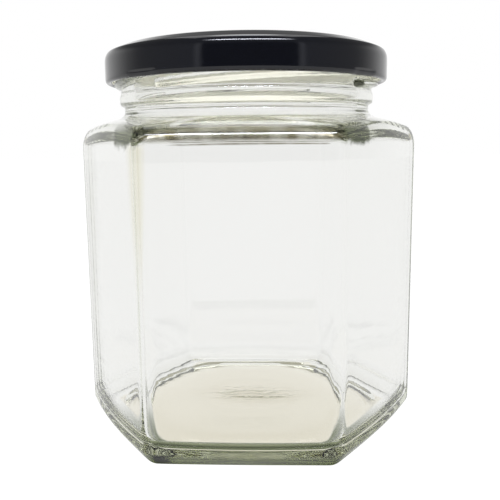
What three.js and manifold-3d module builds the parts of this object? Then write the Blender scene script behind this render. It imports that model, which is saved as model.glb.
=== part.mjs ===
// A six-sided glass food jar with a black metal twist-off lid, in millimetres.
// It stands on z = 0, with one flat face toward -Y and two of its upright edges over the X axis.
import * as THREE from "three";
import { mergeVertices } from "three/addons/utils/BufferGeometryUtils.js";
import Module from "manifold-3d";

// Driving dimensions of the glass.
const acrossFlats = 78;
const faceBow = 1.2; // each face swells this much at its middle
const edgeRadius = 5; // the upright edges, outside
const footEdgeRadius = 1.6; // the same edges where they meet the foot
const wall = 2.1;
const innerEdgeRadius = 4.6;
const heelHeight = 3.4;
const heelInset = 3.1;
// The heel from the foot up to the wall: shares of its inset and of its height.
const heelCurve = [
  [0, 0],
  [0.28, 0.12],
  [0.54, 0.35],
  [0.76, 0.62],
  [0.92, 0.87],
  [1, 1.15],
];
const footRingWidth = 3.4;
const pushUp = 1.4; // the middle of the base stands this far off the table
// The push-up from its middle out: inset from the foot ring, edge radius, share of its height.
const pushUpCurve = [
  [10, 14, 1],
  [2.6, 18, 0.6],
  [1, 18, 0.25],
  [0, 16, 0],
];
const floorHeight = 3.4;
const floorDome = 0.8; // the floor's middle stands this much higher than its rim
const innerHeelHeight = 4.2;
const innerHeelInset = 4.2;
const innerHeelRadius = 6.6; // the inside's edges at the floor
const shoulderStart = 72.8; // the faces end and the shoulder's fillet begins
const shoulderInset = 2.5;
const shoulderSlope = 15; // degrees, from the neck down to the edges
const shoulderThickness = 2.4;
const innerShoulderLift = 0.4; // the inside's fillet begins this much above the outside's
const neckRadius = 31.8;
const neckRoot = 79.8; // the shoulder's height where the neck's flare begins
const neckFlare = 3.1;
const boreRadius = 29.4;
const beadRadius = 33;
const beadBottom = 83.2;
const beadHeight = 3.2;
const beadRounding = 0.8;
const finishRadius = 32.6; // the wall that the thread stands on
const glassTop = 96.6;
const lipRadius = 0.8;

// Driving dimensions of the thread: four runs, a quarter turn apart.
const threadRuns = 4;
const threadStart = -33; // degrees from the front toward +X, at a run's low end
const threadSweep = 95;
const threadBottom = 86.5;
const threadRise = 3.2;
const threadHeight = 1.9;
const threadCrest = 34.2;
const threadEndShare = 0.05; // of a run's length, over which each end rounds off
const threadEndSize = 0.15; // what is left of the ridge at its very end
const threadRoot = 0.6; // how far the ridge is sunk in the finish's wall

// Driving dimensions of the lid.
const lidTop = 98;
const lidBottom = 88.85;
const lidDiameter = 72.8;
const sheet = 0.3;
const curlRadius = 0.85;
// The crown's rounded edge: radius, and how far it lies below the top.
const crownCurve = [
  [31, 0],
  [32.6, 0.42],
  [34.6, 1.22],
  [35.65, 1.69],
  [36.18, 2.5],
  [36.4, 3.8],
];
const panelRadius = 27;
const panelDrop = 0.7;
const panelStep = 1.8; // across which the middle panel climbs to the crown
const curlTurn = 1.35 * Math.PI; // how far the rolled edge curls back
const curlSteps = 8;
const sealOuterRadius = 33.2;
const sealWidth = 3.4;
const sealDepth = 0.8;
const lugSweep = 13;
const lugCentre = 52; // degrees from the front toward +X
const lugReach = 33.3;
const lugThickness = 0.6;
const lugDrop = 0.25;

// How finely the curves are divided.
const sides = 6;
const arcSteps = 5;
const faceSteps = 7;
const filletSteps = 5;
const innerSteps = 4;
const lidSteps = 60;

const radians = THREE.MathUtils.degToRad;
const halfSide = Math.PI / sides;

const wasm = await Module();
wasm.setup();

// The outline of the body at one height: six bowed faces, with a round edge before each.
function hexagon(flat, radius, bow) {
  const points = [];
  const reach = (flat - radius) / Math.cos(halfSide);
  const halfFace = (flat - radius) * Math.tan(halfSide);
  for (let side = 0; side < sides; side++) {
    const edge = 2 * side * halfSide;
    for (let step = 0; step < arcSteps; step++) {
      const turn = edge + ((2 * step) / arcSteps - 1) * halfSide;
      points.push(
        new THREE.Vector2(reach * Math.cos(edge), reach * Math.sin(edge)).add(
          new THREE.Vector2(radius * Math.cos(turn), radius * Math.sin(turn)),
        ),
      );
    }
    const normal = edge + halfSide;
    for (let step = 0; step < faceSteps; step++) {
      const along = ((2 * step) / faceSteps - 1) * halfFace;
      const swell = bow * (1 - (along / halfFace) ** 2);
      points.push(
        new THREE.Vector2(flat + swell, along).rotateAround(
          new THREE.Vector2(),
          normal,
        ),
      );
    }
  }
  return points;
}

const flat = acrossFlats / 2;
const columns = sides * (arcSteps + faceSteps);

// A ring of the loft: an outline raised to a height, which may be a function of the radius.
function ring(outline, height) {
  return outline.map(
    (point) =>
      new THREE.Vector3(
        point.x,
        point.y,
        typeof height === "function" ? height(point.length()) : height,
      ),
  );
}

function round(radius, height) {
  const outline = Array.from({ length: columns }, (_, column) => {
    const angle = ((column - arcSteps / 2) / columns) * 2 * Math.PI;
    return new THREE.Vector2(radius * Math.cos(angle), radius * Math.sin(angle));
  });
  return ring(outline, height);
}

// One closed surface through rings of equal count, shut by a point at each end.
function loft(rings, first, last) {
  const count = rings[0].length;
  const vertices = [first, ...rings.flat(), last];
  const faces = [];
  const at = (row, column) => 1 + row * count + (column % count);
  for (let column = 0; column < count; column++) {
    faces.push(0, at(0, column + 1), at(0, column));
    for (let row = 0; row + 1 < rings.length; row++) {
      const [a, b] = [at(row, column), at(row, column + 1)];
      const [c, d] = [at(row + 1, column + 1), at(row + 1, column)];
      faces.push(a, b, c, a, c, d);
    }
    const end = rings.length - 1;
    faces.push(vertices.length - 1, at(end, column), at(end, column + 1));
  }
  const geometry = new THREE.BufferGeometry().setFromPoints(vertices);
  geometry.setIndex(faces);
  return geometry;
}

function solidOf(geometry) {
  const bare = geometry.clone();
  bare.deleteAttribute("normal");
  bare.deleteAttribute("uv");
  const merged = mergeVertices(bare, 1e-4);
  return new wasm.Manifold(
    new wasm.Mesh({
      numProp: 3,
      vertProperties: merged.attributes.position.array,
      triVerts: new Uint32Array(merged.index.array),
    }),
  );
}

function geometryOf(solid) {
  const mesh = solid.getMesh();
  const geometry = new THREE.BufferGeometry();
  geometry.setAttribute(
    "position",
    new THREE.BufferAttribute(mesh.vertProperties, mesh.numProp),
  );
  geometry.setIndex(new THREE.BufferAttribute(mesh.triVerts, 1));
  geometry.computeVertexNormals();
  return geometry;
}

// The shoulder falls as a cone from the neck, so it lies lower at the edges than at the faces.
function shoulderHeight(radius, root, start) {
  return root - (radius - start) * Math.tan(radians(shoulderSlope));
}

// A quarter ellipse from one ring to another, as pairs of cosine and sine.
function quarter(steps) {
  return Array.from({ length: steps + 1 }, (_, step) => {
    const turn = (step / steps) * (Math.PI / 2);
    return [Math.cos(turn), Math.sin(turn)];
  });
}

function baseRings() {
  const foot = flat - heelInset;
  const inner = foot - footRingWidth;
  const underside = pushUpCurve.map(([inset, radius, share]) =>
    ring(hexagon(inner - inset, radius, 0), pushUp * share),
  );
  const heel = heelCurve.map(([out, rise]) => {
    const radius = THREE.MathUtils.lerp(footEdgeRadius, edgeRadius, out);
    return ring(hexagon(foot + heelInset * out, radius, faceBow * out), heelHeight * rise);
  });
  return [...underside, ...heel];
}

function shoulderRings() {
  const flareRadius = neckRadius + neckFlare;
  const fillet = quarter(filletSteps).map(([cosine, sine]) => {
    const outline = hexagon(
      flat - shoulderInset * (1 - cosine),
      edgeRadius - shoulderInset * (1 - cosine),
      faceBow * cosine,
    );
    const rise = (radius) =>
      shoulderHeight(radius, neckRoot, flareRadius) - shoulderStart;
    return ring(outline, (radius) => shoulderStart + rise(radius) * sine);
  });
  return [...fillet, ...neckFlareRings(neckRadius, neckRoot, neckFlare)];
}

// The concave sweep from the shoulder up into the neck.
function neckFlareRings(radius, root, flare) {
  return quarter(3).map(([cosine, sine]) =>
    round(radius + flare * (1 - sine), root + flare * 0.7 * (1 - cosine)),
  );
}

function finishRings() {
  const beadTop = beadBottom + beadHeight;
  const lip = quarter(3).map(([cosine, sine]) =>
    round(
      finishRadius - lipRadius * (1 - cosine),
      glassTop - lipRadius * (1 - sine),
    ),
  );
  const bore = quarter(2).map(([cosine, sine]) =>
    round(
      boreRadius + lipRadius * (1 - sine),
      glassTop - lipRadius * (1 - cosine),
    ),
  );
  return [
    round(neckRadius, beadBottom),
    round((neckRadius + beadRadius) / 2, beadBottom + beadRounding / 4),
    round(beadRadius, beadBottom + beadRounding),
    round(beadRadius, beadTop - beadRounding),
    round(finishRadius, beadTop),
    ...lip,
    ...bore,
  ];
}

function insideRings() {
  const innerFlat = flat - wall;
  const innerRoot = neckRoot - shoulderThickness;
  const innerStart = boreRadius + neckFlare + 1;
  const flare = neckFlareRings(boreRadius, innerRoot, neckFlare + 1).reverse();
  const bottom = shoulderStart + innerShoulderLift;
  const fillet = quarter(innerSteps).map(([cosine, sine]) => {
    const inset = shoulderInset * (1 - sine);
    const outline = hexagon(innerFlat - inset, innerEdgeRadius - inset, faceBow * sine);
    const rise = (radius) => shoulderHeight(radius, innerRoot, innerStart) - bottom;
    return ring(outline, (radius) => bottom + rise(radius) * cosine);
  });
  const heel = quarter(innerSteps).map(([cosine, sine]) => {
    const radius = THREE.MathUtils.lerp(innerHeelRadius, innerEdgeRadius, cosine);
    return ring(
      hexagon(innerFlat - innerHeelInset * (1 - cosine), radius, faceBow * cosine),
      floorHeight + innerHeelHeight * (1 - sine),
    );
  });
  const floorFlat = (innerFlat - innerHeelInset) / 2;
  return [
    ...flare,
    ...fillet,
    ...heel,
    ring(hexagon(floorFlat, innerHeelRadius, 0), floorHeight + floorDome * 0.7),
  ];
}

// One run of thread: a rounded ridge that climbs round the finish, with blunt rounded ends.
function threadRun(start) {
  const steps = 20;
  const sections = [];
  for (let step = 0; step <= steps; step++) {
    const share = step / steps;
    const angle = radians(start + threadSweep * share);
    const toEnd = Math.min(share, 1 - share, threadEndShare) / threadEndShare;
    const fullness = Math.max(Math.sqrt(1 - (1 - toEnd) ** 2), threadEndSize);
    const height = threadHeight * fullness;
    const crest = finishRadius + (threadCrest - finishRadius) * fullness;
    const middle = threadBottom + threadHeight / 2 + threadRise * share;
    const outline = [
      [finishRadius - threadRoot, height / 2],
      [finishRadius, height / 2],
      [crest, height * 0.1],
      [crest, -height * 0.14],
      [crest - 0.25, -height * 0.36],
      [finishRadius, -height / 2],
      [finishRadius - threadRoot, -height / 2],
    ];
    sections.push(
      outline.map(
        ([radius, rise]) =>
          new THREE.Vector3(
            radius * Math.sin(angle),
            -radius * Math.cos(angle),
            middle + rise,
          ),
      ),
    );
  }
  const centre = (section) =>
    section
      .reduce((sum, point) => sum.add(point), new THREE.Vector3())
      .divideScalar(section.length);
  return loft(sections, centre(sections[0]), centre(sections[steps]));
}

function jarGeometry() {
  const rings = [...baseRings(), ...shoulderRings(), ...finishRings(), ...insideRings()];
  let jar = solidOf(
    loft(
      rings,
      new THREE.Vector3(0, 0, pushUp),
      new THREE.Vector3(0, 0, floorHeight + floorDome),
    ),
  );
  for (let run = 0; run < threadRuns; run++) {
    const start = threadStart + (360 / threadRuns) * run;
    jar = jar.add(solidOf(threadRun(start)));
  }
  return geometryOf(jar);
}

// A lug: the curl pressed in to a short tongue that hooks under the thread.
function lugGeometry(centre) {
  const steps = 4;
  const outer = lidDiameter / 2 - curlRadius;
  const bottom = lidBottom - lugDrop;
  const sections = [];
  for (let step = 0; step <= steps; step++) {
    const share = (2 * step) / steps - 1;
    const angle = radians(centre + (lugSweep / 2) * share);
    const reach = THREE.MathUtils.lerp(lugReach, outer - 0.6, share ** 4);
    const outline = [
      [reach, bottom + lugThickness],
      [outer, bottom + lugThickness],
      [outer, bottom],
      [reach, bottom],
    ];
    sections.push(
      outline.map(
        ([radius, height]) =>
          new THREE.Vector3(radius * Math.sin(angle), -radius * Math.cos(angle), height),
      ),
    );
  }
  const end = (section) => section[0].clone().lerp(section[2], 0.5);
  return loft(sections, end(sections[0]), end(sections[steps]));
}

// A profile moved inward by the sheet's thickness, square to its own run.
function insideOf(curve) {
  return curve.map((point, index) => {
    const before = curve[Math.max(index - 1, 0)];
    const after = curve[Math.min(index + 1, curve.length - 1)];
    const run = after.clone().sub(before).normalize();
    return new THREE.Vector2(point.x + run.y * sheet, point.y - run.x * sheet);
  });
}

// The lid's section, from the middle of its top, over the crown and skirt, and back inside.
function lidProfile() {
  const skirt = lidDiameter / 2;
  const panel = lidTop - panelDrop;
  const curl = new THREE.Vector2(skirt - curlRadius, lidBottom + curlRadius);
  const rolled = Array.from({ length: curlSteps + 1 }, (_, step) => {
    const turn = -(step / curlSteps) * curlTurn;
    return new THREE.Vector2(Math.cos(turn), Math.sin(turn))
      .multiplyScalar(curlRadius)
      .add(curl);
  });
  const crown = crownCurve.map(([radius, drop]) => new THREE.Vector2(radius, lidTop - drop));
  const within = insideOf(crown).filter((point) => point.x > sealOuterRadius);
  const underside = lidTop - sheet;
  const sealInnerRadius = sealOuterRadius - sealWidth;
  const asVector = ([radius, height]) => new THREE.Vector2(radius, height);
  const middle = [
    [0, panel],
    [panelRadius, panel],
    [panelRadius + panelStep, lidTop],
  ];
  const back = [
    [sealOuterRadius, underside - sealDepth],
    [sealInnerRadius, underside - sealDepth],
    [sealInnerRadius - sheet, underside],
    [panelRadius + panelStep, underside],
    [panelRadius, panel - sheet],
    [0, panel - sheet],
  ];
  return [
    ...middle.map(asVector),
    ...crown,
    ...rolled,
    new THREE.Vector2(skirt - sheet, lidBottom + 2.6 * curlRadius),
    ...within.reverse(),
    ...back.map(asVector),
  ];
}

function lidGeometry() {
  // A lathe turns about Y, so the profile runs bottom to top there and is stood up after.
  const turned = new THREE.LatheGeometry(lidProfile().reverse(), lidSteps);
  turned.rotateX(Math.PI / 2);
  let lid = solidOf(turned);
  for (let lug = 0; lug < threadRuns; lug++) {
    lid = lid.add(solidOf(lugGeometry(lugCentre + (360 / threadRuns) * lug)));
  }
  return geometryOf(lid);
}

const glass = new THREE.MeshStandardMaterial({
  color: 0xeef0ea,
  roughness: 0.05,
  metalness: 0,
  transparent: true,
  opacity: 0.35,
});

const lacquer = new THREE.MeshStandardMaterial({
  color: 0x14161c,
  roughness: 0.25,
  metalness: 0.2,
});

function piece(name, geometry, material) {
  const mesh = new THREE.Mesh(geometry, material);
  mesh.name = name;
  return mesh;
}

const hexagonalJar = new THREE.Group();
hexagonalJar.add(piece("glass_jar", jarGeometry(), glass));
hexagonalJar.add(piece("lid", lidGeometry(), lacquer));

export default hexagonalJar;
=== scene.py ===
import math

import bmesh
import bpy
import numpy as np
from mathutils import Matrix, Vector


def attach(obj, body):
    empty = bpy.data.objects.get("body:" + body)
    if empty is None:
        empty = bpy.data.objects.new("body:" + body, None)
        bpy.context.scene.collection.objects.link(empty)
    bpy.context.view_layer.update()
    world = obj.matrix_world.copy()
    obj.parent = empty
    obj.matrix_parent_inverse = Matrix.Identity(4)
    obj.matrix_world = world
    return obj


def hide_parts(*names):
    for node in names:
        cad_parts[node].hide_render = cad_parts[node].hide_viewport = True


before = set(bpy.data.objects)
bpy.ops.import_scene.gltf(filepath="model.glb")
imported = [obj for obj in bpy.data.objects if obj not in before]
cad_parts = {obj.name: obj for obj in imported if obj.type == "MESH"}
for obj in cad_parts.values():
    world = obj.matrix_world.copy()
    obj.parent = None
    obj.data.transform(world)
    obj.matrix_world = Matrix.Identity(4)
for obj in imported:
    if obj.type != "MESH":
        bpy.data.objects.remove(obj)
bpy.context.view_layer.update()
scene = bpy.context.scene
mm = 0.001
sides = 6
halfSide = math.pi / sides

print("stage: camera")

cameraSetup = {
    "place": (8.562, -183.266, 73.418),
    "turn": 2.675,  # degrees round the jar, toward +X
    "pitch": 9.278,
    "roll": -0.666,
    "lens": 48.75,
    "shift": (0.0036, 0.0105),
}


def buildCamera(setup):
    turn, pitch, roll = (math.radians(setup[key]) for key in ("turn", "pitch", "roll"))
    forward = Vector((
        -math.sin(turn) * math.cos(pitch),
        math.cos(turn) * math.cos(pitch),
        -math.sin(pitch),
    ))
    level = forward.cross(Vector((0, 0, 1))).normalized()
    up = level.cross(forward)
    right = level * math.cos(roll) + up * math.sin(roll)
    top = up * math.cos(roll) - level * math.sin(roll)
    data = bpy.data.cameras.new("photoCamera")
    data.sensor_width = 36
    data.lens = setup["lens"]
    data.shift_x, data.shift_y = setup["shift"]
    data.clip_start = 0.01
    data.clip_end = 50
    camera = bpy.data.objects.new("photoCamera", data)
    scene.collection.objects.link(camera)
    axes = Matrix((right, top, -forward)).transposed().to_4x4()
    camera.matrix_world = Matrix.Translation(Vector(setup["place"]) * mm) @ axes
    scene.camera = camera


buildCamera(cameraSetup)


def newMaterial(name):
    material = bpy.data.materials.new(name)
    material.use_nodes = True
    tree = material.node_tree
    tree.nodes.clear()
    return material, tree


def addNode(tree, kind, values=None, **settings):
    node = tree.nodes.new(kind)
    for key, value in settings.items():
        setattr(node, key, value)
    for key, value in (values or {}).items():
        if isinstance(value, bpy.types.NodeSocket):
            tree.links.new(value, node.inputs[key])
        else:
            node.inputs[key].default_value = value
    return node


def calculate(tree, operation, first, second=0.0, clamp=False):
    values = {0: first, 1: second}
    return addNode(tree, "ShaderNodeMath", values, operation=operation, use_clamp=clamp).outputs[0]


def allOf(tree, first, *others):
    for mask in others:
        first = calculate(tree, "MULTIPLY", first, mask)
    return first


def spread(tree, value, low, high, toLow=0.0, toHigh=1.0, kind="SMOOTHSTEP"):
    values = {"Value": value, "From Min": low, "From Max": high, "To Min": toLow, "To Max": toHigh}
    return addNode(tree, "ShaderNodeMapRange", values, interpolation_type=kind).outputs["Result"]


def bandMask(tree, value, low, lowEnd, high, highEnd):
    return allOf(tree, spread(tree, value, low, lowEnd), spread(tree, value, high, highEnd, 1.0, 0.0))


def mixColors(tree, share, first, second):
    return addNode(tree, "ShaderNodeMix", {0: share, 6: first, 7: second}, data_type="RGBA").outputs[2]


def mixValues(tree, share, first, second):
    return addNode(tree, "ShaderNodeMix", {0: share, 2: first, 3: second}, data_type="FLOAT").outputs[0]


def moveVector(tree, operation, first, second):
    return addNode(tree, "ShaderNodeVectorMath", {0: first, 1: second}, operation=operation).outputs[0]


def speckle(tree, place, scale, detail, distortion=0.0):
    values = {"Vector": place, "Scale": scale, "Detail": detail, "Distortion": distortion}
    return addNode(tree, "ShaderNodeTexNoise", values).outputs["Fac"]


def newGroup(name, inputs, outputs):
    group = bpy.data.node_groups.new(name, "ShaderNodeTree")
    for label, kind, value in inputs:
        socket = group.interface.new_socket(name=label, in_out="INPUT", socket_type=kind)
        if value is not None:
            socket.default_value = value
    for label in outputs:
        group.interface.new_socket(name=label, in_out="OUTPUT", socket_type="NodeSocketFloat")
    return group, addNode(group, "NodeGroupInput").outputs


def makeHexagonGroup():
    # how far out a place is, square to the nearest of the six sides
    group, given = newGroup("hexagonDistance", [("Place", "NodeSocketVector", None)], ["Distance"])
    axis = addNode(group, "ShaderNodeSeparateXYZ", {0: given["Place"]}).outputs
    sideways = calculate(group, "MULTIPLY", calculate(group, "ABSOLUTE", axis["X"]), math.cos(halfSide))
    lengthways = calculate(group, "ABSOLUTE", axis["Y"])
    leaning = calculate(group, "ADD", sideways, calculate(group, "MULTIPLY", lengthways, 0.5))
    distance = calculate(group, "MAXIMUM", leaning, lengthways)
    addNode(group, "NodeGroupOutput", {"Distance": distance})
    return group


def makeGrainGroup():
    # fine uneven gloss, as a coat of lacquer has
    group, given = newGroup("fineGrain", [
        ("Place", "NodeSocketVector", None),
        ("Scale", "NodeSocketFloat", 300.0),
        ("Smoothest", "NodeSocketFloat", 0.1),
        ("Roughest", "NodeSocketFloat", 0.3),
    ], ["Grain", "Roughness"])
    grain = speckle(group, given["Place"], given["Scale"], 2.0)
    rough = spread(group, grain, 0.2, 0.8, given["Smoothest"], given["Roughest"], "LINEAR")
    addNode(group, "NodeGroupOutput", {"Grain": grain, "Roughness": rough})
    return group


hexagonGroup = makeHexagonGroup()
grainGroup = makeGrainGroup()


def hexagonDistance(tree, place):
    return addNode(tree, "ShaderNodeGroup", {"Place": place}, node_tree=hexagonGroup).outputs["Distance"]


print("stage: studio")

studio = {
    "floorRadius": 4.0,
    "middle": 6.0,  # bearing of the room's middle, in degrees from -Y toward +X, like the others
    "front": 0.075,  # strengths of the room that the lid mirrors
    "side": 0.34,
    "back": 1.0,
    "frontEdge": (35.0, 46.0),
    "backEdge": (88.0, 132.0),
    "strip": (40.0, 5.0, 0.5),  # bearing, half width and strength of a narrow light at each side
    "above": (0.26, 0.5, 0.25),  # heights between which the room falls off, and what it falls to
    "overhead": (0.95, 0.985, 5.0),
    "bar": (0.66, 0.03, 60.0),  # height, half width and strength of a thin bar in front
    "barEnds": (22.0, 44.0),
    "coolFront": (0.94, 0.97, 1.08, 1),
    "coolEdge": (20.0, 120.0),
    "throughFront": 0.8,  # strengths of the room that shows through the glass
    "throughBack": 0.915,
    "throughEdge": (10.0, 75.0),
    "ceiling": (0.28, 0.26, 0.13, 1),
    "ceilingRise": (0.26, 0.6),
    "ceilingAside": (15.0, 50.0),
    "mattGain": 2.9,  # more light for matt surfaces behind the glass
    "floorGlow": 1.08,
    "floorThrough": 0.915,
    # painted shade on the floor under the jar: a warm patch and a dim ring at the front of the foot, seen only
    # through the glass
    "footRing": (0.031, 0.0325, 0.036, 0.039),
    "footFront": (-0.025, 0.0),
    "footShade": (0.13, 0.16, 0.07, 1),
    "warmShadeUnderJar": (0.92, 0.875, 0.75, 1),
    "softboxPlace": (0, 0.05, 0.9),
    "softboxAim": (0, 0, 0.05),
    "softboxSize": (0.9, 0.7),
    "softboxPower": 4,
}


def mirroredRoom(tree, setup, bearing, height):
    level = spread(tree, bearing, *setup["frontEdge"], setup["front"], setup["side"])
    back = spread(tree, bearing, *setup["backEdge"], 0.0, setup["back"] - setup["side"])
    middle, width, power = setup["strip"]
    offset = calculate(tree, "ABSOLUTE", calculate(tree, "SUBTRACT", bearing, middle))
    strip = spread(tree, offset, 0.0, width, power, 0.0)
    ring = calculate(tree, "ADD", calculate(tree, "ADD", level, back), strip)
    low, high, dimmest = setup["above"]
    ring = mixValues(tree, spread(tree, height, low, high), ring, dimmest)
    low, high, power = setup["overhead"]
    ring = calculate(tree, "ADD", ring, spread(tree, height, low, high, 0.0, power))
    middle, width, power = setup["bar"]
    offset = calculate(tree, "ABSOLUTE", calculate(tree, "SUBTRACT", height, middle))
    ends = spread(tree, bearing, *setup["barEnds"], 1.0, 0.0)
    ring = calculate(tree, "ADD", ring, allOf(tree, spread(tree, offset, 0.0, width, power, 0.0), ends))
    frontness = spread(tree, bearing, *setup["coolEdge"], 1.0, 0.0)
    tone = mixColors(tree, frontness, (1, 1, 1, 1), setup["coolFront"])
    return addNode(tree, "ShaderNodeBackground", {"Color": tone, "Strength": ring}).outputs[0]


def roomThroughGlass(tree, setup, bearing, height, path):
    # a bright room, with a dim warm ceiling before and behind the jar
    dim = spread(tree, bearing, *setup["throughEdge"], setup["throughFront"], 1.0)
    aside = calculate(tree, "ABSOLUTE", calculate(tree, "SUBTRACT", bearing, 90.0))
    rise = allOf(tree, spread(tree, height, *setup["ceilingRise"]), spread(tree, aside, *setup["ceilingAside"]))
    tone = mixColors(tree, rise, (1, 1, 1, 1), setup["ceiling"])
    depth = path.outputs["Diffuse Depth"]
    matt = spread(tree, depth, 0.0, 1.0, setup["throughBack"], setup["mattGain"], "LINEAR")
    return addNode(tree, "ShaderNodeBackground", {"Color": tone, "Strength": allOf(tree, dim, matt)}).outputs[0]


def buildWorld(setup):
    world = bpy.data.worlds.new("studioWorld")
    scene.world = world
    world.use_nodes = True
    tree = world.node_tree
    tree.nodes.clear()
    coords = addNode(tree, "ShaderNodeTexCoord")
    axis = addNode(tree, "ShaderNodeSeparateXYZ", {0: coords.outputs["Generated"]}).outputs
    away = calculate(tree, "MULTIPLY", axis["Y"], -1.0)
    bearing = calculate(tree, "MULTIPLY", calculate(tree, "ARCTAN2", axis["X"], away), 180 / math.pi)
    bearing = calculate(tree, "ABSOLUTE", calculate(tree, "SUBTRACT", bearing, setup["middle"]))
    path = addNode(tree, "ShaderNodeLightPath")
    mirrored = mirroredRoom(tree, setup, bearing, axis["Z"])
    seen = roomThroughGlass(tree, setup, bearing, axis["Z"], path)
    plain = addNode(tree, "ShaderNodeBackground", {"Color": (1, 1, 1, 1), "Strength": 1.0}).outputs[0]
    glassy = addNode(
        tree, "ShaderNodeMixShader", {0: path.outputs["Is Transmission Ray"], 1: mirrored, 2: seen}
    ).outputs[0]
    both = addNode(tree, "ShaderNodeMixShader", {0: path.outputs["Is Camera Ray"], 1: glassy, 2: plain})
    addNode(tree, "ShaderNodeOutputWorld", {"Surface": both.outputs[0]})


def buildFloor(setup):
    bpy.ops.object.select_all(action="DESELECT")
    bpy.ops.mesh.primitive_circle_add(vertices=96, radius=setup["floorRadius"], fill_type="NGON")
    floor = bpy.context.object
    floor.name = "studioFloor"
    floor.location.z = -0.02 * mm
    material, tree = newMaterial("paleFloor")
    path = addNode(tree, "ShaderNodeLightPath").outputs
    straight = path["Is Camera Ray"]
    place = addNode(tree, "ShaderNodeNewGeometry").outputs["Position"]
    strength = spread(tree, straight, 0.0, 1.0, setup["floorThrough"], setup["floorGlow"], "LINEAR")
    matt = spread(tree, path["Diffuse Depth"], 0.0, 1.0, 1.0, setup["mattGain"], "LINEAR")
    # painted shade on the patch under the jar, seen through its base: a warm tint, and a dim contact shadow
    # where the front of the foot is
    hexagonal = hexagonDistance(tree, place)
    inner, innerEnd, outer, outerEnd = setup["footRing"]
    lengthways = addNode(tree, "ShaderNodeSeparateXYZ", {0: place}).outputs["Y"]
    hidden = calculate(tree, "SUBTRACT", 1.0, straight)
    under = allOf(tree, spread(tree, hexagonal, inner, innerEnd, 1.0, 0.0), hidden)
    contactShadeMask = allOf(
        tree,
        bandMask(tree, hexagonal, inner, innerEnd, outer, outerEnd),
        spread(tree, lengthways, *setup["footFront"], 1.0, 0.0),
        hidden,
    )
    tone = mixColors(tree, under, (1, 1, 1, 1), setup["warmShadeUnderJar"])
    tone = mixColors(tree, contactShadeMask, tone, setup["footShade"])
    glow = addNode(tree, "ShaderNodeEmission", {"Color": tone, "Strength": allOf(tree, strength, matt)})
    addNode(tree, "ShaderNodeOutputMaterial", {"Surface": glow.outputs[0]})
    floor.data.materials.append(material)


def addSoftbox(setup):
    data = bpy.data.lights.new("topSoftbox", "AREA")
    data.shape = "RECTANGLE"
    data.size, data.size_y = setup["softboxSize"]
    data.energy = setup["softboxPower"]
    light = bpy.data.objects.new("topSoftbox", data)
    light.location = setup["softboxPlace"]
    aim = Vector(setup["softboxAim"]) - light.location
    light.rotation_euler = aim.to_track_quat("-Z", "Y").to_euler()
    scene.collection.objects.link(light)


buildWorld(studio)
buildFloor(studio)
addSoftbox(studio)
scene.view_settings.view_transform = "Standard"

print("stage: rings")


def hexagonOutline(flat, radius, bow, cornerSteps, faceSteps):
    points = []
    reach = (flat - radius) / math.cos(halfSide)
    halfFace = (flat - radius) * math.tan(halfSide)
    for side in range(sides):
        edge = 2 * side * halfSide
        for step in range(cornerSteps):
            turn = edge + (2 * step / cornerSteps - 1) * halfSide
            x = reach * math.cos(edge) + radius * math.cos(turn)
            y = reach * math.sin(edge) + radius * math.sin(turn)
            points.append((x, y))
        normal = edge + halfSide
        for step in range(faceSteps):
            along = (2 * step / faceSteps - 1) * halfFace
            out = flat + bow * (1 - (along / halfFace) ** 2)
            x = out * math.cos(normal) - along * math.sin(normal)
            y = out * math.sin(normal) + along * math.cos(normal)
            points.append((x, y))
    return points


def roundOutline(radius, count):
    start = -halfSide * 0.8  # lines up with the corners of the hexagons
    step = 2 * math.pi / count
    return [(radius * math.cos(start + k * step), radius * math.sin(start + k * step)) for k in range(count)]


def byBearing(point):
    # the small turn keeps points on the X axis from falling on the seam
    return (math.atan2(point[1], point[0]) + 0.0123) % (2 * math.pi)


def layRing(piece, outline, height):
    # the selected ring of vertices takes the outline's shape
    shape = bmesh.from_edit_mesh(piece.data)
    chosen = sorted((v for v in shape.verts if v.select), key=lambda v: byBearing(v.co))
    for vertex, (x, y) in zip(chosen, sorted(outline, key=byBearing)):
        rise = height(math.hypot(x, y)) if callable(height) else height
        vertex.co = (x * mm, y * mm, rise * mm)
    bmesh.update_edit_mesh(piece.data)


def modelRings(name, rings, span):
    # a closed skin, extruded from ring to ring, with a grid over each end
    bpy.ops.object.select_all(action="DESELECT")
    bpy.ops.mesh.primitive_circle_add(vertices=len(rings[0][0]), radius=0.03)
    piece = bpy.context.object
    piece.name = name
    bpy.ops.object.mode_set(mode="EDIT")
    bpy.ops.mesh.select_all(action="SELECT")
    layRing(piece, *rings[0])
    bpy.ops.mesh.fill_grid(span=span)
    bpy.ops.mesh.select_all(action="DESELECT")
    bpy.ops.mesh.select_non_manifold()
    for outline, height in rings[1:]:
        bpy.ops.mesh.extrude_region_move()
        layRing(piece, outline, height)
    bpy.ops.mesh.fill_grid(span=span)
    bpy.ops.mesh.select_all(action="SELECT")
    bpy.ops.mesh.normals_make_consistent(inside=False)
    bpy.ops.object.mode_set(mode="OBJECT")
    return piece


def finishSkin(piece, levels):
    bpy.context.view_layer.objects.active = piece
    skin = piece.modifiers.new("skin", "SUBSURF")
    skin.levels = skin.render_levels = levels
    bpy.ops.object.modifier_apply(modifier=skin.name)
    bpy.ops.object.shade_smooth()
    print(piece.name, len(piece.data.vertices), "vertices", len(piece.data.polygons), "faces")


def readPoints(piece):
    points = np.empty(len(piece.data.vertices) * 3)
    piece.data.vertices.foreach_get("co", points)
    points = points.reshape(-1, 3) / mm
    radius = np.hypot(points[:, 0], points[:, 1])
    bearing = np.degrees(np.arctan2(points[:, 0], -points[:, 1]))
    return points, radius, bearing


def writePoints(piece, points, growth):
    points[:, :2] *= growth[:, None]
    piece.data.vertices.foreach_set("co", (points * mm).ravel())
    piece.data.update()


def quarter(steps):
    turns = [step / steps * math.pi / 2 for step in range(steps + 1)]
    return [(math.cos(turn), math.sin(turn)) for turn in turns]


def blendOf(first, last, share):
    return first + (last - first) * share


print("stage: glass jar")

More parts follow.
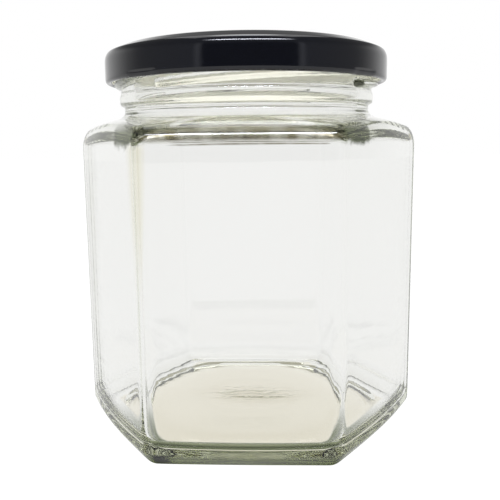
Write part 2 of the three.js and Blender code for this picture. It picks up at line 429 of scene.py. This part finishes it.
jar = {
    "flat": 39.0,  # from the middle to a face's plane, in mm like all these
    "bow": 1.2,
    "edgeRadius": 5.0,
    "footEdgeRadius": 1.6,
    "wall": 2.1,
    "heelHeight": 3.4,
    "heelInset": 3.1,
    # shares of the heel's inset and height
    "heelCurve": (
        (0, 0), (0.08, 0.02), (0.28, 0.12), (0.54, 0.35), (0.76, 0.62), (0.92, 0.87), (0.98, 1.0), (1, 1.2),
    ),
    "footRingWidth": 3.4,
    "footChamfer": 0.3,
    "pushUp": 1.4,
    # out from the foot ring's inner edge, corner radius, share of the push-up
    "underside": (
        (-19.5, 8, 1.0), (-10.5, 14, 0.98), (-5, 17, 0.88), (-2.6, 18, 0.6),
        (-1, 18, 0.25), (-0.25, 17, 0.06), (0.2, 16, 0), (1.6, 9, 0),
    ),
    "wallHeights": (5.6, 10, 24, 40, 56, 66),
    "innerHeights": (60, 46, 32, 18),
    "floorHeight": 3.4,
    "floorRings": ((-3, 8.3, 0.08), (-10, 12, 0.4), (-19.7, 8, 0.8)),  # in from the heel, corner radius, rise
    "innerHeelHeight": 4.2,
    "innerHeelInset": 4.2,
    "innerEdgeRadius": 4.3,
    "innerHeelSpread": 2.0,  # how much rounder the corners are at the floor
    "shoulderStart": 72.8,
    "innerShoulderLift": 0.4,
    "shoulderInset": 2.5,
    "shoulderSlope": 15.0,
    "neckRadius": 31.8,
    "neckRoot": 79.8,
    "neckRootDrop": 0.3,
    "neckFlare": 3.1,
    "innerFlareMore": 1.0,
    "flareShape": 0.7,
    "boreRadius": 29.4,
    "boreHeights": (91, 86),
    "beadRadius": 33.0,
    "beadBottom": 83.2,
    "beadHeight": 3.2,
    "finishRadius": 32.6,
    "finishRings": 13,
    "glassTop": 96.6,
    "lipRadius": 0.8,
    "threadRuns": 4,
    "threadStart": -33.0,
    "threadSweep": 95.0,
    "threadBottom": 86.5,
    "threadRise": 3.2,
    "threadHeight": 1.9,
    "threadCrest": 34.2,
    "threadEnd": 0.6,
    "threadRound": (1.15, 2.6, 0.8),
    "cornerSteps": 4,
    "faceSteps": 6,
}


def jarRings(size):
    count = sides * (size["cornerSteps"] + size["faceSteps"])
    flat, bow, edge = size["flat"], size["bow"], size["edgeRadius"]
    footEdge = size["footEdgeRadius"]
    slope = math.tan(math.radians(size["shoulderSlope"]))
    rings = []

    def hexagon(flatNow, radius, bowNow, height):
        outline = hexagonOutline(flatNow, radius, bowNow, size["cornerSteps"], size["faceSteps"])
        rings.append((outline, height))

    def circle(radius, height):
        rings.append((roundOutline(radius, count), height))

    # underside: a round-cornered pushed-up middle, then the ring that it stands on, then the heel
    foot = flat - size["heelInset"]
    inner = foot - size["footRingWidth"]
    for out, radius, share in size["underside"]:
        hexagon(inner + out, radius, 0, size["pushUp"] * share)
    hexagon(foot - size["footChamfer"], footEdge, 0, 0)
    for out, rise in size["heelCurve"]:
        radius = blendOf(footEdge, edge, out)
        hexagon(foot + size["heelInset"] * out, radius, bow * out, size["heelHeight"] * rise)
    for height in size["wallHeights"]:
        hexagon(flat, edge, bow, height)

    # shoulder: a fillet at the edge, then a cone up to the neck
    start = size["shoulderStart"]
    flareRadius = size["neckRadius"] + size["neckFlare"]

    def shoulderAt(share):
        return lambda r: start + (size["neckRoot"] - (r - flareRadius) * slope - start) * share

    for cosine, sine in quarter(6):
        inset = size["shoulderInset"] * (1 - cosine)
        hexagon(flat - inset, edge - inset, bow * cosine, shoulderAt(sine))
    for cosine, sine in quarter(4):
        rise = size["neckFlare"] * size["flareShape"] * (1 - cosine)
        circle(size["neckRadius"] + size["neckFlare"] * (1 - sine), size["neckRoot"] + rise)

    # bead, plain finish and lip
    neck, bead, low = size["neckRadius"], size["beadRadius"], size["beadBottom"]
    high = low + size["beadHeight"]
    for radius, height in (
        (neck, low - 0.15), (neck + 0.35, low + 0.1), (bead - 0.25, low + 0.3),
        (bead, low + 0.9), (bead, high - 0.9), (bead - 0.2, high - 0.25),
    ):
        circle(radius, height)
    finish, top, lip = size["finishRadius"], size["glassTop"], size["lipRadius"]
    last = size["finishRings"] - 1
    for step in range(size["finishRings"]):
        circle(finish, blendOf(high, top - lip - 0.2, step / last))
    for cosine, sine in quarter(4):
        circle(finish - lip * (1 - cosine), top - lip * (1 - sine))
    bore = size["boreRadius"]
    for cosine, sine in quarter(3):
        circle(bore + lip * (1 - sine), top - lip * (1 - cosine))

    # inside: bore, flare, cone, fillet, wall, heel and floor
    innerFlat = flat - size["wall"]
    innerEdge = size["innerEdgeRadius"]
    root = size["neckRoot"] - size["wall"] - size["neckRootDrop"]
    flare = size["neckFlare"] + size["innerFlareMore"]
    innerStart = bore + flare
    for height in size["boreHeights"]:
        circle(bore, height)
    for cosine, sine in reversed(quarter(4)):
        circle(bore + flare * (1 - sine), root + flare * size["flareShape"] * (1 - cosine))
    bottom = start + size["innerShoulderLift"]

    def underShoulder(share):
        return lambda r: bottom + (root - (r - innerStart) * slope - bottom) * share

    for cosine, sine in quarter(5):
        inset = size["shoulderInset"] * (1 - sine)
        hexagon(innerFlat - inset, innerEdge - inset, bow * sine, underShoulder(cosine))
    for height in size["innerHeights"]:
        hexagon(innerFlat, innerEdge, bow, height)
    for cosine, sine in quarter(5):
        radius = blendOf(innerEdge + size["innerHeelSpread"], innerEdge, cosine)
        inset = size["innerHeelInset"] * (1 - cosine)
        rise = size["floorHeight"] + size["innerHeelHeight"] * (1 - sine)
        hexagon(innerFlat - inset, radius, bow * cosine, rise)
    for out, radius, rise in size["floorRings"]:
        hexagon(innerFlat - size["innerHeelInset"] + out, radius, 0, size["floorHeight"] + rise)
    return rings


def raiseThread(piece, size):
    # pushes the finish out along climbing runs with rounded ends
    points, radius, bearing = readPoints(piece)
    height = points[:, 2]
    finish = size["finishRadius"]
    half = size["threadHeight"] / 2
    fullness, sharpness, shape = size["threadRound"]
    lift = np.zeros(len(points))
    for run in range(size["threadRuns"]):
        start = size["threadStart"] + 360 / size["threadRuns"] * run
        turned = (bearing - start) % 360
        turned = np.where(turned > 340, turned - 360, turned)
        along = np.clip(turned / size["threadSweep"], 0, 1)
        middle = size["threadBottom"] + half + size["threadRise"] * along
        past = np.radians(turned - along * size["threadSweep"]) * finish
        distance = np.hypot((height - middle) / half, past / (half + size["threadEnd"]))
        crest = np.clip(fullness * (1 - distance**sharpness), 0, 1) ** shape
        lift = np.maximum(lift, (size["threadCrest"] - finish) * crest)
    outside = (radius > finish - 0.7) & (radius < finish + 0.6)
    outside &= (height > size["beadBottom"] + 1.3) & (height < size["glassTop"] - 1)
    writePoints(piece, points, np.where(outside, (radius + lift) / np.maximum(radius, 1e-6), 1.0))


glassJar = modelRings("glassJar", jarRings(jar), 15)
finishSkin(glassJar, 2)
raiseThread(glassJar, jar)

print("stage: lid")

lid = {
    "top": 98.0,
    "bottom": 88.85,
    "radius": 36.4,
    "sheet": 0.3,
    "curlRadius": 0.85,
    "curlTurn": 1.35,  # half turns
    "crownEdge": 96.45,
    "crownRadius": 31.0,
    "panelRadius": 27.0,
    "panelDrop": 0.7,
    "sealRadius": 33.2,
    "sealWidth": 3.4,
    "sealDepth": 0.8,
    "columns": 64,
    "lugCount": 4,
    "lugCentre": 52.0,
    "lugSweep": 14.0,
    "lugDepth": 1.5,
    "lugDent": 0.35,
    "lugFlat": 0.45,  # what is left of the curl's height at a lug
    "lugTop": 90.7,
    "lugReach": 30.0,  # only the rim outside this is pressed
}


def lidRings(size):
    top, skirt, sheet = size["top"], size["radius"], size["sheet"]
    crown, panel = size["crownRadius"], size["panelRadius"]
    panelTop = top - size["panelDrop"]
    edge = size["crownEdge"]
    # outside: panel, step, crown, crease and skirt
    profile = [
        (8, panelTop), (18, panelTop), (panel - 1.2, panelTop), (panel, panelTop + 0.03),
        (panel + 0.6, panelTop + 0.3), (panel + 1.1, top - 0.08), (panel + 1.8, top),
        (crown - 1.0, top), (crown, top - 0.03), (crown + 0.8, top - 0.16), (crown + 1.6, top - 0.42),
        (crown + 2.6, top - 0.84), (crown + 3.6, top - 1.22), (crown + 4.2, edge + 0.06),
        (crown + 4.45, edge - 0.02), (crown + 4.65, edge - 0.14),
        (skirt - 0.5, edge - 0.42), (skirt - 0.22, edge - 0.95), (skirt - 0.03, edge - 1.7),
        (skirt, edge - 2.6), (skirt, 92.6), (skirt, 91.4), (skirt, 90.4),
    ]
    curl = size["curlRadius"]
    for step in range(9):
        turn = -step / 8 * size["curlTurn"] * math.pi
        profile.append((skirt - curl + curl * math.cos(turn), size["bottom"] + curl + curl * math.sin(turn)))
    # inside: skirt, crown, sealing ring, step and panel
    inside = skirt - sheet
    under = top - sheet
    sealOut = size["sealRadius"]
    sealIn = sealOut - size["sealWidth"]
    seal = under - size["sealDepth"]
    profile += [
        (inside - 0.2, 90.75), (inside - 0.02, 91.3), (inside, 92.6), (inside - 0.03, edge - 2.2),
        (inside - 0.25, edge - 1.35), (inside - 0.6, edge - 0.8), (inside - 1.2, edge - 0.4),
        (inside - 1.9, edge - 0.1), (sealOut + 0.35, edge + 0.2),
        (sealOut, seal + 0.15), (sealOut - 0.4, seal), (sealIn + 0.4, seal), (sealIn, seal + 0.12),
        (sealIn - 0.25, under - 0.05), (sealIn - 0.7, under),
        (panel + 1.9, under - 0.02), (panel + 1.35, under - 0.14),
        (panel + 0.85, panelTop - sheet + 0.22), (panel + 0.2, panelTop - sheet + 0.02),
        (panel - 1.0, panelTop - sheet), (18, panelTop - sheet), (8, panelTop - sheet),
    ]
    return [(roundOutline(radius, size["columns"]), height) for radius, height in profile]


def pressLugs(piece, size):
    points, radius, bearing = readPoints(piece)
    low = (points[:, 2] < size["lugTop"]) & (radius > size["lugReach"])
    middle = size["radius"] - size["curlRadius"]
    moved = radius.copy()
    for lug in range(size["lugCount"]):
        centre = size["lugCentre"] + 360 / size["lugCount"] * lug
        turned = (bearing - centre + 180) % 360 - 180
        press = np.clip(1 - np.abs(turned / (size["lugSweep"] / 2)) ** 3, 0, 1) * low
        inward = np.clip((middle + 0.1 - radius) / size["curlRadius"], 0, 1)
        outward = np.clip((radius - middle) / size["curlRadius"], 0, 1)
        outward *= points[:, 2] < size["lugTop"] - 0.5
        moved -= press * (inward * size["lugDepth"] + outward * size["lugDent"])
        flat = size["bottom"] + (points[:, 2] - size["bottom"]) * size["lugFlat"]
        points[:, 2] += press * inward * (flat - points[:, 2])
    writePoints(piece, points, moved / np.maximum(radius, 1e-6))


metalLid = modelRings("metalLid", lidRings(lid), 16)
finishSkin(metalLid, 2)
pressLugs(metalLid, lid)

print("stage: glass")

glassLook = {
    "tint": (0.26, 0.32, 0.0, 1),
    "density": 13.0,
    "shadow": (0.96, 0.97, 0.95, 1),
    "waveScale": 38.0,
    "levelStretch": (18.0, 18.0, 420.0),
    "levelShare": 0.22,
    "waveDepth": 0.25,  # mm
    "waveStrength": 0.3,
    "smoothFoot": (0.002, 0.006),
    "shoulder": (0.0738, 0.0748, 0.0786, 0.0796),  # heights in metres, like the places below
    "shoulderAside": (0.023, 0.029),
    "shoulderOut": (0.028, 0.033),
    # painted shade on the shoulder band
    "shoulderPaintedShade": (0.12, 0.1, 0.045, 1),
    "steep": (0.4, 0.85, 0.12),
    "mottleScale": 260.0,
    "mottleSpread": (0.25, 0.6, 0.55),
    "cornerFray": 1.1,
    "cornerEdge": (1.15, 1.45),
    "cornerCentre": (0.0256, 0.0, 0.0766),
    "cornerSize": (0.0044, 1.0, 0.0046),
    "cornerFront": (-0.024, -0.018),
    # painted shade in the shoulder's corners
    "cornerPaintedShade": (0.06, 0.075, 0.03, 1),
    "streakAside": 0.0222,
    "streakWidth": (0.034, 0.072, 0.0004, 0.0024),
    "streakSpan": (0.034, 0.06, 0.0725, 0.0745),
    "streakFront": (-0.034, -0.028),
    "streakTint": (0.86, 0.83, 0.66, 1),
    "heelOut": (0.035, 0.0357),
    "heelTop": (0.0028, 0.0038),
    "heelFront": (-0.022, -0.006),
    # painted shade over the front of the heel
    "heelPaintedShade": (0.08, 0.1, 0.035, 1),
    "scarCentre": (0.0012, 0.0005, 0.0044),
    "scarSize": (0.0165, 0.007, 0.003),
    "scarStretch": (70.0, 420.0, 70.0),
    "scarFolds": (0.42, 0.7),
    "scarDepth": 0.32,  # mm
    "scarStrength": 0.9,
    "patchFade": (0.1, 1.3, 0.7),
    "patchMottle": (0.3, 0.62, 0.35),
    "patchTint": (0.4, 0.33, 0.17, 1),
    "knurlRing": (0.0318, 0.0326, 0.0354, 0.0358),
    "knurlTop": (0.0006, 0.001),
    "knurlFront": (-0.02, 0.0),
    "knurlRadius": 0.036,
    "knurlPitch": 0.00195,
    "knurlEdge": (0.2, 0.8),
    # painted shade for the knurled ring
    "knurlPaintedShade": (0.6, 0.62, 0.55, 1),
}


def farFrom(tree, place, centre, size):
    # 0 in the middle of a spot, 1 at its edge
    scaled = moveVector(tree, "DIVIDE", moveVector(tree, "SUBTRACT", place, centre), size)
    return addNode(tree, "ShaderNodeVectorMath", {0: scaled}, operation="LENGTH").outputs["Value"]


def bump(tree, strength, depth, height, normal=None):
    values = {"Strength": strength, "Distance": depth * mm, "Height": height}
    if normal is not None:
        values["Normal"] = normal
    return addNode(tree, "ShaderNodeBump", values).outputs["Normal"]


def shoulderPaint(tree, look, coords, axis, paint):
    # painted shade: olive where the steep glass of the shoulder bends the room into view, the flat of it stays
    # clear
    height = axis["Z"]
    sideways = calculate(tree, "ABSOLUTE", axis["X"])
    lengthways = calculate(tree, "ABSOLUTE", axis["Y"])
    facing = addNode(tree, "ShaderNodeNewGeometry").outputs["Normal"]
    facing = addNode(tree, "ShaderNodeSeparateXYZ", {0: facing}).outputs["Z"]
    low, high, least = look["steep"]
    steep = spread(tree, calculate(tree, "ABSOLUTE", facing), low, high, 1.0, least)
    mottle = speckle(tree, coords, look["mottleScale"], 3.0)
    band = allOf(
        tree,
        bandMask(tree, height, *look["shoulder"]),
        spread(tree, mottle, *look["mottleSpread"], 1.0),
        spread(tree, sideways, *look["shoulderAside"], 1.0, 0.0),
        spread(tree, lengthways, *look["shoulderOut"]),
        steep,
    )
    paint = mixColors(tree, band, paint, look["shoulderPaintedShade"])
    # painted shade, darker in the shoulder's corners beside the front face
    folded = addNode(tree, "ShaderNodeCombineXYZ", {0: sideways, 2: height}).outputs[0]
    off = farFrom(tree, folded, look["cornerCentre"], look["cornerSize"])
    off = calculate(tree, "ADD", off, calculate(tree, "MULTIPLY", mottle, look["cornerFray"]))
    corner = allOf(
        tree,
        spread(tree, off, *look["cornerEdge"], 1.0, 0.0),
        spread(tree, axis["Y"], *look["cornerFront"], 1.0, 0.0),
        steep,
    )
    return mixColors(tree, corner, paint, look["cornerPaintedShade"])


def streakPaint(tree, look, axis, paint):
    # a thin flow mark down the front's left edge
    width = spread(tree, axis["Z"], *look["streakWidth"], "LINEAR")
    past = calculate(tree, "SUBTRACT", calculate(tree, "MULTIPLY", axis["X"], -1.0), look["streakAside"])
    past = calculate(tree, "DIVIDE", calculate(tree, "ABSOLUTE", past), width)
    streak = allOf(
        tree,
        calculate(tree, "SUBTRACT", 1.0, past, True),
        bandMask(tree, axis["Z"], *look["streakSpan"]),
        spread(tree, axis["Y"], *look["streakFront"], 1.0, 0.0),
    )
    return mixColors(tree, streak, paint, look["streakTint"])


def footPaint(tree, look, coords, axis, paint):
    # painted shade at the front: the dotted ring under the foot, standing in for its knurled relief, then a
    # dark band over the outer heel
    out = hexagonDistance(tree, coords)
    bearing = calculate(tree, "ARCTAN2", axis["Y"], axis["X"])
    turns = calculate(tree, "MULTIPLY", bearing, look["knurlRadius"] / look["knurlPitch"] * 2 * math.pi)
    dashes = allOf(
        tree,
        bandMask(tree, out, *look["knurlRing"]),
        spread(tree, axis["Z"], *look["knurlTop"], 1.0, 0.0),
        spread(tree, axis["Y"], *look["knurlFront"], 1.0, 0.0),
        spread(tree, calculate(tree, "SINE", turns), *look["knurlEdge"]),
    )
    paint = mixColors(tree, dashes, paint, look["knurlPaintedShade"])
    heel = allOf(
        tree,
        spread(tree, out, *look["heelOut"]),
        spread(tree, axis["Z"], *look["heelTop"], 1.0, 0.0),
        spread(tree, axis["Y"], *look["heelFront"], 1.0, 0.0),
    )
    return mixColors(tree, heel, paint, look["heelPaintedShade"])


def buildGlass(look):
    material, tree = newMaterial("clearGlass")
    coords = addNode(tree, "ShaderNodeTexCoord").outputs["Object"]
    axis = addNode(tree, "ShaderNodeSeparateXYZ", {0: coords}).outputs
    # slow waves and faint level streaks, as the mould leaves them, but none in the foot's thick slab
    wave = speckle(tree, coords, look["waveScale"], 1.5)
    level = speckle(tree, moveVector(tree, "MULTIPLY", coords, look["levelStretch"]), 1.0, 2.0)
    surface = mixValues(tree, look["levelShare"], wave, level)
    surface = allOf(tree, surface, spread(tree, axis["Z"], *look["smoothFoot"]))
    relief = bump(tree, look["waveStrength"], look["waveDepth"], surface)
    # the pusher's scar in the middle of the floor, with a soft brownish patch round it
    reach = farFrom(tree, coords, look["scarCentre"], look["scarSize"])
    folds = speckle(tree, moveVector(tree, "MULTIPLY", coords, look["scarStretch"]), 1.0, 3.0, 1.2)
    scar = allOf(tree, spread(tree, reach, 0.1, 1.0, 1.0, 0.0), spread(tree, folds, *look["scarFolds"]))
    relief = bump(tree, look["scarStrength"], look["scarDepth"], scar, relief)
    brownPatch = spread(tree, reach, *look["patchFade"], 0.0)
    brownPatch = allOf(tree, brownPatch, spread(tree, wave, *look["patchMottle"], 1.0))
    paint = shoulderPaint(tree, look, coords, axis, (1, 1, 1, 1))
    paint = streakPaint(tree, look, axis, paint)
    paint = mixColors(tree, brownPatch, paint, look["patchTint"])
    paint = footPaint(tree, look, coords, axis, paint)
    glass = addNode(tree, "ShaderNodeBsdfPrincipled", {
        "Base Color": paint,
        "Roughness": 0.0,
        "IOR": 1.52,
        "Transmission Weight": 1.0,
        "Normal": relief,
    }).outputs[0]
    clear = addNode(tree, "ShaderNodeBsdfTransparent", {"Color": look["shadow"]}).outputs[0]
    shadow = addNode(tree, "ShaderNodeLightPath").outputs["Is Shadow Ray"]
    both = addNode(tree, "ShaderNodeMixShader", {0: shadow, 1: glass, 2: clear}).outputs[0]
    tint = addNode(tree, "ShaderNodeVolumeAbsorption", {"Color": look["tint"], "Density": look["density"]})
    addNode(tree, "ShaderNodeOutputMaterial", {"Surface": both, "Volume": tint.outputs[0]})
    return material


print("stage: lacquer")

lacquerLook = {
    "color": (0.0022, 0.0025, 0.0042, 1),
    "grain": {"Scale": 900.0, "Smoothest": 0.05, "Roughest": 0.11},
    "grainDepth": 0.05,  # mm
    "grainStrength": 0.12,
}

enamelLook = {
    "color": (0.86, 0.85, 0.79, 1),
    "grain": {"Scale": 300.0, "Smoothest": 0.3, "Roughest": 0.4},
    "above": 94.0,  # mm; all that faces down over this is coated
    "skirt": (89.3, 96.5),
    "skirtRadius": 36.2,
}


def placeGrain(tree, values):
    coords = addNode(tree, "ShaderNodeTexCoord").outputs["Object"]
    return addNode(tree, "ShaderNodeGroup", {"Place": coords, **values}, node_tree=grainGroup).outputs


def buildLacquer(look):
    material, tree = newMaterial("blackLacquer")
    grain = placeGrain(tree, look["grain"])
    paint = addNode(tree, "ShaderNodeBsdfPrincipled", {
        "Base Color": look["color"],
        "Roughness": grain["Roughness"],
        "IOR": 1.5,
        "Normal": bump(tree, look["grainStrength"], look["grainDepth"], grain["Grain"]),
    })
    addNode(tree, "ShaderNodeOutputMaterial", {"Surface": paint.outputs[0]})
    return material


def buildEnamel(look):
    material, tree = newMaterial("paleEnamel")
    grain = placeGrain(tree, look["grain"])
    paint = addNode(tree, "ShaderNodeBsdfPrincipled", {
        "Base Color": look["color"],
        "Roughness": grain["Roughness"],
    })
    addNode(tree, "ShaderNodeOutputMaterial", {"Surface": paint.outputs[0]})
    return material


def coatInside(piece, look):
    # the lid's inside faces take the second material
    low, high = look["skirt"]
    for face in piece.data.polygons:
        height = face.center.z / mm
        down = face.normal.z < -0.2 and height > look["above"]
        inward = face.normal.xy.dot(face.center.xy) < 0
        near = math.hypot(face.center.x, face.center.y) / mm < look["skirtRadius"]
        if down or (inward and near and low < height < high):
            face.material_index = 1


glassJar.data.materials.append(buildGlass(glassLook))
metalLid.data.materials.append(buildLacquer(lacquerLook))
metalLid.data.materials.append(buildEnamel(enamelLook))
coatInside(metalLid, enamelLook)

print("stage: frame")

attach(glassJar, "root")
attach(metalLid, "root")
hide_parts("glass_jar")
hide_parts("lid")

scene.cycles.max_bounces = 32  # light crosses the jar's walls many times
scene.cycles.transmission_bounces = 32
scene.cycles.glossy_bounces = 32
